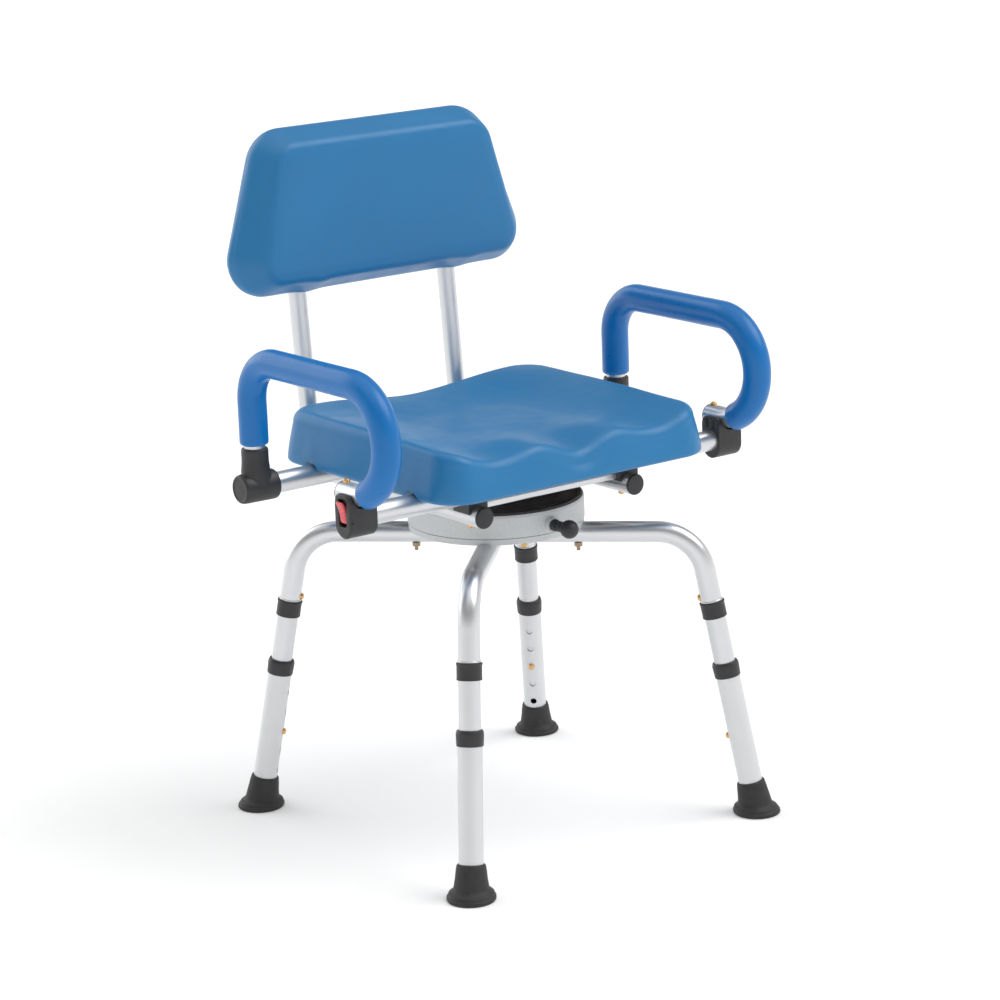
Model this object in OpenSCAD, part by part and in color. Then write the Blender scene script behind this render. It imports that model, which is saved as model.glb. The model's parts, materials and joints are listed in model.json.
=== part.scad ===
// Padded swivel shower chair: four height-adjustable tube legs, a round swivel base with an index
// knob, a foam seat and backrest, and two armrests that lift up and back.
// Millimetres. +Z is up and -Y is the front. The origin is on the floor under the swivel axis.
// "Left" and "right" are the sitter's, so right is -X.

/* [Legs] */
// Distance from the swivel axis to the knee of a leg
knee_r = 240; // [225:1:260]
// Height of the horizontal leg tubes' axis
leg_z = 351; // [340:1:365]
// Lean of a leg from the vertical, in degrees
splay = 10.7; // [6:0.1:14]
// Bend radius of the knee, at the tube's axis
knee_bend = 57; // [45:1:70]
// Outside diameter of the lower leg tubes
lower_od = 28.6; // [28:0.1:30]
// Distance from one height hole to the next
hole_pitch = 25.4; // [20:0.1:26]
// Number of height holes in a leg
hole_count = 5; // [3:2:5]
// Diameter of a foot's base
foot_d = 57; // [48:1:64]

/* [Frame] */
// Outside diameter of the frame tubes
tube_od = 25.4; // [25:0.1:27]
// Wall thickness of the tubes
wall = 1.6; // [1.2:0.1:2]
// Half the distance between the seat rails
rail_x = 112; // [108:1:118]
// Height of the seat rails' axis
rail_z = 411.5; // [411.5:0.1:416]
// Distance from the swivel axis to the cross tubes, to the front and to the rear
cross_y = 101; // [96:1:106]
// Distance from the middle plane to the armrests
arm_x = 272; // [262:1:284]

/* [Seat and backrest] */
// Width of the seat pad
seat_w = 393; // [370:1:404]
// Depth of the seat pad
seat_d = 350; // [325:1:362]
// Height of the seat pad's underside
seat_z = 444.5; // [443.5:0.5:446.5]
// Thickness of the seat pad at its rim
seat_t = 60; // [54:1:64]
// Lean of the backrest from the vertical, in degrees
recline = 5; // [4:1:6]
// Thickness of the backrest pad
back_t = 74; // [66:1:80]

/* [Armrests] */
// Height of the armrest tube's top run
arm_z = 590; // [570:1:610]
// Bend radius of the armrest at the rear
arm_bend = 50; // [42:1:60]
// Outside diameter of the foam grips
grip_d = 34; // [32:0.5:38]

/* [Swivel base] */
// Radius of the swivel housing
housing_r = 106; // [102:1:110]
// Number of positions at which the index knob locks the seat
index_count = 8; // [4:4:8]

/* [Hidden] */
$fn = 64;
hull_fn = 32;
running = 0.06;      // radial clearance of a running fit
snug = 0.05;         // radial clearance between tubes that slide to adjust
eps = 1;             // how far a cutting shape passes a face
lap = 0.5;           // how far a run reaches back into the bend before it
bend_thin = 0.1;     // how much thinner a bend is than the runs, so that a run takes in its end

// Legs, in a frame with its origin at the knee, +Z down the leg and +X towards the swivel axis
LEGS = [["fr", 225], ["fl", 315], ["rr", 135], ["rl", 45]];
tube_r = tube_od / 2;
knee_run = knee_bend * tan((90 - splay) / 2);
leg_inner_r = 44;                // where the leg tubes start under the base
upper_end = 97;                  // end of the bent tube, inside the upper collar
upper_collar_at = 86.7;
upper_collar_h = 20;
upper_collar_r = 14.9;
upper_button_at = 80.4;
spigot_at = 60;                  // top of the middle tube's reduced end
spigot_r = tube_r - wall - snug;
middle_end = 293;
lower_at = 166;
lower_end = 349;
lower_r = lower_od / 2;
lower_bore_r = tube_r + snug;
first_hole_at = 204.6;
button_hole = (hole_count - 1) / 2;      // the hole that holds the snap button, counted from 0
lower_button_at = first_hole_at + button_hole * hole_pitch;
collar_at = 163.2;
collar_h = 18.5;

// Snap buttons
button_r = 3.9;
button_hole_r = 4;
button_proud = 3.6;
leaf_t = 0.7;
leaf_l = 26;
leaf_w = 6;

// Leg bolts
bolt_at = 98;                    // distance from the swivel axis
bolt_r = 2.25;
bolt_hole_r = 2.45;
bolt_grip = 5.5;                 // how far a bolt enters the base plate
bolt_tail = 5;                   // how far it passes its nut
nut_across = 8.5;                // across the flats
nut_h = 4;
washer_r = 5;
washer_t = 1;

// Swivel base
plate_z0 = 361.5;
seam_z = 369.5;
seam_gap = 1.2;                  // height and depth of the groove under the seam
seam_depth = 2;
rim_z = 396.4;
shelf_z = 393.2;                 // the housing's ledge that carries the balls
shelf_t = 5;
turn_z0 = 393.6;
turn_z1 = 398.7;
turn_r = housing_r - 3.4;
hub_r = 84;
hub_z0 = 371;
spindle_r = 14;
race_r = 95;
ball_r = 2.5;
ball_count = 36;
index_z = 380;
index_r = 3;
index_nose_y = -hub_r - 0.4;
bush_y = -119.5;
knob_y = -141;
knob_r = 12.4;

// Seat frame
cross_z = 437.2;
front_cross_x = arm_x - 4;       // half length of the front cross tube
rear_cross_x = arm_x + 16;       // half length of the rear cross tube
rail_y0 = -126;
rail_y1 = 132;
cap_t = 3;
plug_l = 12;
rail_button_y = -101;
back_od = 22.2;
back_r = back_od / 2;
back_foot_y = 218;               // where the backrest's line meets the rails' axis
back_bend = 50;
back_start_y = -112;
back_tube_l = 345;               // length of the upright, from that meeting point
board_z = cross_z + tube_r + 0.3;
board_t = 12;
board_w = 330;
board_d = 290;

// Pads
seat_corner = 40;
scoop_r = 78;
scoop_depth = 26;
scoop_tilt = 7.5;
wall_lean = 7;                   // how far the seat's walls lean in up to the roll of the edge
roll_in = 12;                    // width and height of that roll
roll_h = 9;
back_lo = [166, 264, 45];        // the backrest outline's lower corners: x, distance up, radius
back_hi = [123, 367.6, 51];      // and its upper ones
back_rear = 14;                  // from the tubes' axes to the rear face
back_rim = 8;                    // and forward to the widest outline
back_rear_inset = 6;
back_face_inset = 26;

// Armrests and latches
tee_x0 = arm_x - 24;
tee_x1 = arm_x + 24;
tee_r = 18;
socket_r = 16;
socket_z0 = 453;
socket_z1 = 484;
arm_end_z = 463.3;
hook_r = (arm_z - arm_end_z) / 2;
hook_y = -103;
arm_end_y = -80;
grip_z0 = 487.6;
grip_hook = 160;                 // degrees of the hook that the grip covers
grip_tail = 0.5;                 // the grip's straight end after that
latch_x0 = arm_x - 19;
latch_x1 = arm_x + 17;
latch_r = 16;
latch_low_z = 431;
latch_top_z = 467;
ear_round = 9;
saddle_r = 13;
lever_w = 13;
lever_h = 26;
lever_t = 5;
lever_x = latch_x1 - 1.8;        // the lever's pin
lever_z0 = 433;
lever_pin_z = 436.5;
lever_lean = 9;
lever_room = 2.5;                // depth of the pocket behind the lever
lever_pin_r = 1.5;

// ---- Rods: each run or bend starts at the origin along +Z, and its children start at its end ----
// A tube is a rod less a thinner rod that passes its ends by eps.

module run(l, d, back = 0) {
    translate([0, 0, -back]) cylinder(h = l + back, d = d);
    translate([0, 0, l]) children();
}

// a bend of angle a towards +X
module bend(r, a, d) {
    translate([r, 0, 0]) rotate([90, 0, 180]) rotate_extrude(angle = a)
        translate([r, 0]) circle(d = d - bend_thin);
    translate([r * (1 - cos(a)), 0, r * sin(a)]) rotate([0, a, 0]) children();
}

module straight_tube(l, od, id) {
    difference() {
        cylinder(h = l, d = od);
        translate([0, 0, -eps]) cylinder(h = l + 2 * eps, d = id);
    }
}

module along_x(x0, x1, r) {
    translate([x0, 0, 0]) rotate([0, 90, 0]) cylinder(h = x1 - x0, r = r);
}

module along_y(y0, y1, r) {
    translate([0, y0, 0]) rotate([-90, 0, 0]) cylinder(h = y1 - y0, r = r);
}

// ---- Legs ----

function leg_angle(name) = [for (l = LEGS) if (l[0] == name) l[1]][0];

module on_leg(name) {
    rotate([0, 0, leg_angle(name)]) translate([knee_r, 0, leg_z]) rotate([0, 180 - splay, 0])
        children();
}

module each_leg() {
    for (l = LEGS) rotate([0, 0, l[1]]) children();
}

// a radial hole in the inner wall of a leg, at distance s from the knee
module leg_hole(s, r = button_hole_r) {
    translate([0, 0, s]) along_x(2, 2 * tube_r, r);
}

// the bent tube's line, outwards under the base and down the leg, passing both ends by over
module knee_rod(d, over = 0) {
    translate([leg_inner_r - over, 0, leg_z]) rotate([0, 90, 0])
        run(knee_r - knee_run - leg_inner_r + over, d)
            bend(knee_bend, 90 - splay, d)
                run(upper_end - knee_run + over, d, lap);
}

module leg_upper_tube(name) {
    color("lightgray") rotate([0, 0, leg_angle(name)]) difference() {
        knee_rod(tube_od);
        knee_rod(tube_od - 2 * wall, eps);
        translate([knee_r, 0, leg_z]) rotate([0, 180 - splay, 0]) leg_hole(upper_button_at);
        translate([bolt_at, 0, leg_z - 2 * tube_r]) cylinder(h = 4 * tube_r, r = bolt_hole_r);
    }
}

module leg_middle_tube(name) {
    color("silver") on_leg(name) difference() {
        union() {
            translate([0, 0, spigot_at]) cylinder(h = middle_end - spigot_at, r = spigot_r);
            translate([0, 0, upper_end]) cylinder(h = middle_end - upper_end, r = tube_r);
        }
        translate([0, 0, spigot_at - eps])
            cylinder(h = middle_end - spigot_at + 2 * eps, r = spigot_r - wall);
        translate([0, 0, upper_end + 4])
            cylinder(h = middle_end - upper_end, r = tube_r - wall);
        leg_hole(upper_button_at);
        leg_hole(lower_button_at);
    }
}

module leg_lower_tube(name) {
    color("gainsboro") on_leg(name) difference() {
        translate([0, 0, lower_at]) cylinder(h = lower_end - lower_at, r = lower_r);
        translate([0, 0, lower_at - eps])
            cylinder(h = lower_end - lower_at + 2 * eps, r = lower_bore_r);
        for (i = [0 : hole_count - 1]) leg_hole(first_hole_at + i * hole_pitch);
    }
}

// a ring of grip ribs and smooth lips round the joint of the bent and middle tubes
module upper_collars() {
    color("dimgray") for (l = LEGS) on_leg(l[0]) translate([0, 0, upper_collar_at])
        rotate_extrude() difference() {
            union() {
                square([upper_collar_r - 0.6, upper_collar_h]);
                translate([0, 1.2]) square([upper_collar_r, upper_collar_h - 2.4]);
            }
            translate([-eps, -eps]) square([tube_r + snug + eps, upper_collar_h + 2 * eps]);
        }
}

// a bush on top of the lower tube, with a tapered skirt
module lower_collar(name) {
    skirt_r = lower_r + 1.9;
    color("dimgray") on_leg(name) translate([0, 0, collar_at]) rotate_extrude() difference() {
        polygon([[0, 0], [lower_r + 0.4, 0], [skirt_r - 0.3, 3], [skirt_r, 5],
            [lower_r + 1.1, collar_h], [0, collar_h]]);
        translate([-eps, -eps]) square([tube_r + running + eps, collar_h + 2 * eps]);
        translate([-eps, lower_at - collar_at]) square([lower_r + eps, collar_h]);
    }
}

// a domed pin on a leaf spring, pointing along +X from the tube's axis
module snap_button(surface_r, leaf_r) {
    dome = 1.4;
    pin_l = surface_r + button_proud - dome - leaf_r;
    color("goldenrod") {
        translate([leaf_r, 0, 0]) rotate([0, 90, 0]) {
            cylinder(h = pin_l, r = button_r);
            translate([0, 0, pin_l]) cylinder(h = dome, r1 = button_r, r2 = button_r - 1.5);
        }
        translate([leaf_r - leaf_t, -leaf_w / 2, -button_r - 1]) cube([leaf_t, leaf_w, leaf_l]);
    }
}

module upper_button(name) {
    on_leg(name) translate([0, 0, upper_button_at]) snap_button(tube_r, 5.6);
}

module height_button(name) {
    on_leg(name) translate([0, 0, lower_button_at]) snap_button(lower_r, 6.6);
}

// a rubber ferrule: a flat two-step base and a neck that leans with the leg
module foot(name) {
    base_h = 5;
    step_h = 9.5;
    neck_s = 310;
    color([0.16, 0.16, 0.17]) difference() {
        union() {
            rotate([0, 0, leg_angle(name)]) translate([knee_r + leg_z * tan(splay), 0, 0]) {
                cylinder(h = base_h, d = foot_d);
                cylinder(h = step_h, d1 = foot_d - 3, d2 = foot_d - 7);
            }
            intersection() {
                on_leg(name) translate([0, 0, neck_s])
                    cylinder(h = 45, r1 = lower_r + 2.1, r2 = lower_r + 4.8);
                rotate([0, 0, leg_angle(name)]) translate([knee_r + leg_z * tan(splay), 0, 0])
                    cylinder(h = 60, d = foot_d);
            }
        }
        on_leg(name) translate([0, 0, neck_s - eps])
            cylinder(h = lower_end - neck_s + eps, r = lower_r + snug);
    }
}

// bolts down from the base plate through the leg tubes, with a washer and a nut on each
module leg_bolts() {
    washer_z = leg_z - tube_r - washer_t;
    nut_z = washer_z - nut_h;
    tail_z = nut_z - bolt_tail;
    color("goldenrod") each_leg() translate([bolt_at, 0, 0]) {
        translate([0, 0, washer_z]) cylinder(h = washer_t, r = washer_r);
        translate([0, 0, nut_z]) cylinder(h = nut_h, d = nut_across / cos(30), $fn = 6);
        translate([0, 0, tail_z]) cylinder(h = plate_z0 + bolt_grip - tail_z, r = bolt_r);
    }
}

// ---- Swivel base ----

module base_plate() {
    color([0.72, 0.74, 0.74]) difference() {
        union() {
            translate([0, 0, plate_z0])
                cylinder(h = seam_z - seam_gap - plate_z0, r = housing_r - 1);
            translate([0, 0, plate_z0])
                cylinder(h = seam_z - plate_z0, r = housing_r - 1 - seam_depth);
            translate([0, 0, seam_z]) cylinder(h = 22, r = spindle_r);
        }
        each_leg() translate([0, 0, leg_z]) along_x(leg_inner_r - 6, housing_r + eps, tube_r + snug);
        each_leg() translate([bolt_at, 0, plate_z0 - eps])
            cylinder(h = bolt_grip + eps, r = bolt_r + snug);
    }
}

module base_housing() {
    color([0.8, 0.82, 0.82]) difference() {
        union() {
            translate([0, 0, seam_z]) rotate_extrude() hull() {
                square([housing_r, 1]);
                translate([0, rim_z - seam_z - 3]) square([housing_r - 0.2, 0.1]);
                translate([0, rim_z - seam_z - 0.1]) square([housing_r - 1.2, 0.1]);
            }
            translate([0, 0, index_z]) along_y(-housing_r - 6, -housing_r + 8, 9);
        }
        translate([0, 0, seam_z - eps])
            cylinder(h = shelf_z - shelf_t - seam_z + eps, r = housing_r - 4.5);
        translate([0, 0, seam_z]) cylinder(h = 40, r = hub_r + 4);
        translate([0, 0, shelf_z]) cylinder(h = 10, r = turn_r + 0.6);
        translate([0, 0, (shelf_z + turn_z0) / 2]) rotate_extrude()
            translate([race_r, 0]) circle(r = ball_r + snug);
        translate([0, 0, index_z]) along_y(-housing_r - 10, -housing_r + 20, 5.5);
    }
}

module turntable() {
    color([0.17, 0.17, 0.18]) difference() {
        union() {
            translate([0, 0, turn_z0]) cylinder(h = turn_z1 - turn_z0, r = turn_r);
            translate([0, 0, hub_z0]) cylinder(h = turn_z1 - hub_z0, r = hub_r);
            // a bridge between the rails, out of sight at the rear half
            translate([-rail_x + 9, 10, turn_z1 - 0.1]) cube([2 * rail_x - 18, 62, 5]);
        }
        translate([0, 0, hub_z0 - eps]) cylinder(h = 22, r = hub_r - 14);
        translate([0, 0, hub_z0 - eps]) cylinder(h = 22, r = spindle_r + running);
        translate([0, 0, (shelf_z + turn_z0) / 2]) rotate_extrude()
            translate([race_r, 0]) circle(r = ball_r + snug);
        for (r = [58, 76, 97]) translate([0, 0, turn_z1 - 0.9]) rotate_extrude()
            translate([r, 0]) square([1.6, 2]);
        for (i = [0 : index_count - 1]) rotate([0, 0, i * 360 / index_count])
            translate([0, 0, index_z]) along_y(-hub_r - eps, -hub_r + 7, index_r + 0.3);
        for (x = [-rail_x, rail_x]) translate([x, 0, rail_z]) along_y(0, 90, tube_r + snug);
    }
    // the collar that runs on the base's spindle, tied to the hub by the top web
    color([0.17, 0.17, 0.18]) translate([0, 0, hub_z0]) difference() {
        cylinder(h = 22, r = spindle_r + 8);
        translate([0, 0, -eps]) cylinder(h = 22 + 2 * eps, r = spindle_r + running);
    }
}

module bearing_balls() {
    color("silver") for (i = [0 : ball_count - 1]) rotate([0, 0, i * 360 / ball_count])
        translate([race_r, 0, (shelf_z + turn_z0) / 2]) sphere(r = ball_r);
}

module plunger_bush() {
    color([0.2, 0.2, 0.21]) translate([0, 0, index_z]) difference() {
        union() {
            along_y(bush_y, -housing_r + 12, 5.45);
            along_y(bush_y + 1, -housing_r - 6, 7);
        }
        along_y(bush_y - eps, -housing_r + 13, index_r + running);
    }
}

module index_knob() {
    color([0.13, 0.13, 0.14]) translate([0, 0, index_z]) {
        along_y(knob_y, index_nose_y, index_r);
        along_y(knob_y, bush_y - 2.5, 5.5);
        translate([0, knob_y, 0]) sphere(r = knob_r);
    }
}

// ---- Seat frame ----

module seat_rail(side) {
    color("silver") difference() {
        translate([side * rail_x, rail_y0, rail_z]) rotate([-90, -90, 0])
            straight_tube(rail_y1 - rail_y0, tube_od, back_od + 2 * snug);
        translate([side * rail_x, rail_button_y, rail_z - 2 * tube_r])
            cylinder(h = 2 * tube_r, r = button_hole_r);
    }
}

module rail_end_caps() {
    color([0.13, 0.13, 0.14]) for (side = [-1, 1]) translate([side * rail_x, 0, rail_z]) {
        along_y(rail_y0 - cap_t + 1, rail_y0, tube_r);
        along_y(rail_y0 - cap_t, rail_y0 - 1, tube_r - 1);
        along_y(rail_y0 - 1, rail_y0 + plug_l, back_r);
    }
}

// the button's pin points down and its leaf runs to the rear
module rail_button(side) {
    translate([side * rail_x, rail_button_y, rail_z]) rotate([-90, 90, 0]) snap_button(tube_r, 5.6);
}

module cross_tube(y, half) {
    color("silver") translate([-half, y, cross_z]) rotate([0, 90, 0])
        straight_tube(2 * half, tube_od, tube_od - 2 * wall);
}

module front_cross_tube() {
    cross_tube(-cross_y, front_cross_x);
}

module rear_cross_tube() {
    cross_tube(cross_y, rear_cross_x);
}

// blocks that space the cross tubes off the rails
module saddle_blocks() {
    block_w = 27;
    block_d = 30;
    color([0.15, 0.15, 0.16]) for (x = [-rail_x, rail_x], y = [-cross_y, cross_y]) difference() {
        translate([x - block_w / 2, y - block_d / 2, rail_z + 4])
            cube([block_w, block_d, board_z - rail_z - 8]);
        translate([x, y, rail_z]) along_y(-block_d, block_d, tube_r + snug);
        translate([x, y, cross_z]) along_x(-block_w, block_w, tube_r + snug);
    }
}

module seat_board() {
    color("tan") translate([-board_w / 2, -board_d / 2, board_z]) cube([board_w, board_d, board_t]);
}

// ---- Pads ----

// a rounded rectangle, smaller by inset on every side
module seat_slice(inset, z, h) {
    r = seat_corner - inset / 2;
    translate([0, 0, z]) for (x = [-1, 1], y = [-1, 1])
        translate([x * (seat_w / 2 - inset - r), y * (seat_d / 2 - inset - r), 0])
            cylinder(h = h, r = r, $fn = hull_fn);
}

module seat_pad() {
    color([0.24, 0.5, 0.7]) difference() {
        hull() {
            seat_slice(0, seat_z, 2);
            seat_slice(wall_lean, seat_z + seat_t - roll_h, 1);
            seat_slice(wall_lean + roll_in, seat_z + seat_t - 1, 1);
        }
        translate([-board_w / 2, -board_d / 2, seat_z - eps])
            cube([board_w, board_d, board_z + board_t - seat_z + eps]);
        for (y = [-cross_y, cross_y]) translate([0, y, cross_z]) along_x(-seat_w, seat_w, tube_r + 1);
        // the scoop at the middle of the front edge
        translate([0, -seat_d / 2, seat_z + seat_t - scoop_depth + scoop_r]) rotate([scoop_tilt, 0, 0])
            along_y(-40, 260, scoop_r);
    }
}

module on_back() {
    translate([0, back_foot_y, rail_z]) rotate([-recline, 0, 0]) children();
}

// a slice across the backrest pad, y behind the tubes' axes and drawn in by inset on every side
module back_slice(inset, y, t) {
    for (side = [-1, 1], corner = [back_lo, back_hi])
        translate([side * corner[0], 0, corner[1]])
            along_y(y, y + t, corner[2] - inset, $fn = hull_fn);
}

module backrest_pad() {
    color([0.24, 0.5, 0.7]) difference() {
        on_back() hull() {
            back_slice(back_rear_inset, back_rear - 1, 1);
            back_slice(0, -back_rim - 1, 2);
            back_slice(back_face_inset, back_rear - back_t, 1);
        }
        on_back() for (x = [-rail_x, rail_x]) translate([x, 0, 0])
            cylinder(h = back_tube_l, r = back_r + snug);
        on_back() insert_blank();
    }
}

module insert_blank() {
    translate([-rail_x, -3, 250]) cube([2 * rail_x, 6, 80]);
}

module backrest_insert() {
    color("silver") on_back() difference() {
        insert_blank();
        for (x = [-rail_x, rail_x]) translate([x, 0, 200]) cylinder(h = 200, r = back_r + snug);
    }
}

// the backrest tube's line, rearwards through the rail and up the back, passing both ends by over
module back_rod(side, d, over = 0) {
    turn = 90 - recline;
    lead = back_bend * tan(turn / 2);
    translate([side * rail_x, back_start_y - over, rail_z]) rotate([-90, -90, 0])
        run(back_foot_y - lead - back_start_y + over, d)
            bend(back_bend, turn, d)
                run(back_tube_l - lead + over, d, lap);
}

module backrest_tube(side) {
    color("silver") difference() {
        back_rod(side, back_od);
        back_rod(side, back_od - 2 * wall, eps);
        translate([side * rail_x, rail_button_y, rail_z - 2 * tube_r])
            cylinder(h = 2 * tube_r, r = button_hole_r);
    }
}

// ---- Armrests and latches: drawn for the left side (+X) and mirrored for the right ----

module on_side(side) {
    if (side > 0) children();
    else mirror([1, 0, 0]) children();
}

module armrest_tee(side) {
    color([0.13, 0.13, 0.14]) on_side(side) translate([0, cross_y, 0]) difference() {
        union() {
            translate([0, 0, cross_z]) along_x(tee_x0, tee_x1 - 3, tee_r);
            translate([0, 0, cross_z]) along_x(tee_x1 - 5, tee_x1, tee_r - 2);
            translate([arm_x, 0, cross_z]) cylinder(h = socket_z1 - cross_z, r = socket_r);
        }
        translate([0, 0, cross_z]) along_x(tee_x0 - eps, rear_cross_x + 0.5, tube_r + running);
        translate([arm_x, 0, socket_z0]) cylinder(h = 60, r = tube_r + snug);
    }
}

// the armrest's line, from z0 up, forward and round the hook, passing both ends by over
module arm_rod(z0, hook, tail, d, over = 0) {
    translate([arm_x, cross_y, z0 - over]) rotate([0, 0, -90])
        run(arm_z - arm_bend - z0 + over, d)
            bend(arm_bend, 90, d)
                run(cross_y - arm_bend - hook_y, d, lap)
                    bend(hook_r, hook, d)
                        run(tail + over, d, lap);
}

module armrest_tube(side) {
    color("silver") on_side(side) difference() {
        arm_rod(socket_z0, 180, arm_end_y - hook_y, tube_od);
        arm_rod(socket_z0, 180, arm_end_y - hook_y, tube_od - 2 * wall, eps);
    }
}

module armrest_grip(side) {
    color([0.12, 0.42, 0.72]) on_side(side) difference() {
        arm_rod(grip_z0, grip_hook, grip_tail, grip_d);
        arm_rod(grip_z0, grip_hook, grip_tail, tube_od + 2 * snug, eps);
    }
}

// a block on the front cross tube's end: a saddle between two ears takes the armrest's free end,
// and a window in the outer ear takes the lever
module latch_body(side) {
    latch_l = latch_x1 - latch_x0;
    ear_z = latch_top_z - ear_round;
    color([0.13, 0.13, 0.14]) on_side(side) translate([0, -cross_y, 0]) difference() {
        union() {
            translate([0, 0, latch_low_z]) along_x(latch_x0, latch_x1, latch_r);
            translate([latch_x0, -latch_r, latch_low_z])
                cube([latch_l, 2 * latch_r, ear_z - latch_low_z]);
            translate([0, 0, ear_z]) intersection() {
                along_x(latch_x0, latch_x1, latch_r);
                translate([latch_x0, -latch_r, 0]) cube([latch_l, 2 * latch_r, ear_round]);
            }
        }
        translate([arm_x, 0, arm_end_z]) along_y(-2 * latch_r, 2 * latch_r, saddle_r);
        translate([arm_x - saddle_r, -2 * latch_r, arm_end_z])
            cube([2 * saddle_r, 4 * latch_r, 2 * ear_round]);
        translate([0, 0, cross_z]) along_x(latch_x0 - eps, front_cross_x + 0.3, tube_r + snug);
        translate([lever_x - lever_t / 2 - lever_room, -lever_w / 2 - 0.3, lever_z0 - 2])
            cube([20, lever_w + 0.6, lever_h + 4]);
        translate([lever_x, 0, lever_pin_z])
            along_y(-latch_r - eps, lever_w / 2 + 3.5, lever_pin_r + running);
    }
}

module latch_lever(side) {
    color([0.85, 0.3, 0.34]) on_side(side) translate([lever_x, -cross_y, lever_pin_z]) {
        rotate([0, lever_lean, 0]) translate([-lever_t / 2, -lever_w / 2, lever_z0 - lever_pin_z])
            cube([lever_t, lever_w, lever_h]);
        along_y(-lever_w / 2 - 3, lever_w / 2 + 3, lever_pin_r);
    }
}

base_housing();
base_plate();
plunger_bush();
index_knob();
leg_upper_tube("fr");  // leg_upper_tube_fr
leg_upper_tube("fl");  // leg_upper_tube_fl
leg_upper_tube("rr");  // leg_upper_tube_rr
leg_upper_tube("rl");  // leg_upper_tube_rl
leg_middle_tube("fr");  // leg_middle_tube_fr
leg_middle_tube("fl");  // leg_middle_tube_fl
leg_middle_tube("rr");  // leg_middle_tube_rr
leg_middle_tube("rl");  // leg_middle_tube_rl
upper_collars();
leg_bolts();
upper_button("fr");  // upper_button_fr
upper_button("fl");  // upper_button_fl
upper_button("rr");  // upper_button_rr
upper_button("rl");  // upper_button_rl
leg_lower_tube("fr");  // leg_lower_tube_fr
leg_lower_tube("fl");  // leg_lower_tube_fl
leg_lower_tube("rr");  // leg_lower_tube_rr
leg_lower_tube("rl");  // leg_lower_tube_rl
lower_collar("fr");  // lower_collar_fr
lower_collar("fl");  // lower_collar_fl
lower_collar("rr");  // lower_collar_rr
lower_collar("rl");  // lower_collar_rl
height_button("fr");  // height_button_fr
height_button("fl");  // height_button_fl
height_button("rr");  // height_button_rr
height_button("rl");  // height_button_rl
foot("fr");  // foot_fr
foot("fl");  // foot_fl
foot("rr");  // foot_rr
foot("rl");  // foot_rl
turntable();
bearing_balls();
seat_rail(-1);  // seat_rail_right
seat_rail(1);  // seat_rail_left
rail_end_caps();
rail_button(-1);  // rail_button_right
rail_button(1);  // rail_button_left
front_cross_tube();
rear_cross_tube();
saddle_blocks();
seat_board();
seat_pad();
backrest_tube(-1);  // backrest_tube_right
backrest_tube(1);  // backrest_tube_left
backrest_insert();
backrest_pad();
latch_body(-1);  // latch_body_right
latch_body(1);  // latch_body_left
latch_lever(-1);  // latch_lever_right
latch_lever(1);  // latch_lever_left
armrest_tee(-1);  // armrest_tee_right
armrest_tee(1);  // armrest_tee_left
armrest_tube(-1);  // armrest_tube_right
armrest_tube(1);  // armrest_tube_left
armrest_grip(-1);  // armrest_grip_right
armrest_grip(1);  // armrest_grip_left
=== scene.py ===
"""The looks of the padded swivel shower chair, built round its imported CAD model.

Metres, +Z up, -Y the front. "Left" and "right" are the sitter's, so right is -X. Tubes, rails, the swivel
base, the seat board, the saddle blocks and the bolts stay CAD nodes with better materials. Pads, grips, feet,
collars, joints, latches, levers, the knob and its bush, the caps and the snap buttons are modelled here and
replace their CAD nodes. The beads on the legs, the armrest ends' buttons and plugs and the tie bar under the
front cross tube are only here.
"""

import json
import math

import bmesh
import bpy
from mathutils import Matrix, Vector, noise

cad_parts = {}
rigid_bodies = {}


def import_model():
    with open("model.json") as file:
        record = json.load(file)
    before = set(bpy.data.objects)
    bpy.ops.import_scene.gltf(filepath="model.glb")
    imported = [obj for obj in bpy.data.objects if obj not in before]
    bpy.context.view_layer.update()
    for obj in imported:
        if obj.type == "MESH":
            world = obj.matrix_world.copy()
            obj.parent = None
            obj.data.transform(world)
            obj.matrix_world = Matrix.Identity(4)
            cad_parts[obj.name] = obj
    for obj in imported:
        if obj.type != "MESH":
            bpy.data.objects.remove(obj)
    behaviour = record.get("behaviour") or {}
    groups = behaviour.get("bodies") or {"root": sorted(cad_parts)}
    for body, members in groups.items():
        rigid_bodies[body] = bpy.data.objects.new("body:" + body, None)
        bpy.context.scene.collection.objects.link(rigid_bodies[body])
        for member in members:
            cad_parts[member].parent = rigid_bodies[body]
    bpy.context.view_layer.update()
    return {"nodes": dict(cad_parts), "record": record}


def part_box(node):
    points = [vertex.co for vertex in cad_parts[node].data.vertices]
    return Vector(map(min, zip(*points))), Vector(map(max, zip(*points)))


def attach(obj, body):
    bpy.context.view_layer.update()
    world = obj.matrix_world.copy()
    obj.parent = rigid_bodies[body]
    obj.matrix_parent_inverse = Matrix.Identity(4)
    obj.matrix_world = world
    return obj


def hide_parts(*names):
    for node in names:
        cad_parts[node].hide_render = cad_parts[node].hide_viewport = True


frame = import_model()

# ---- Sizes that the CAD model fixes ----

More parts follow.
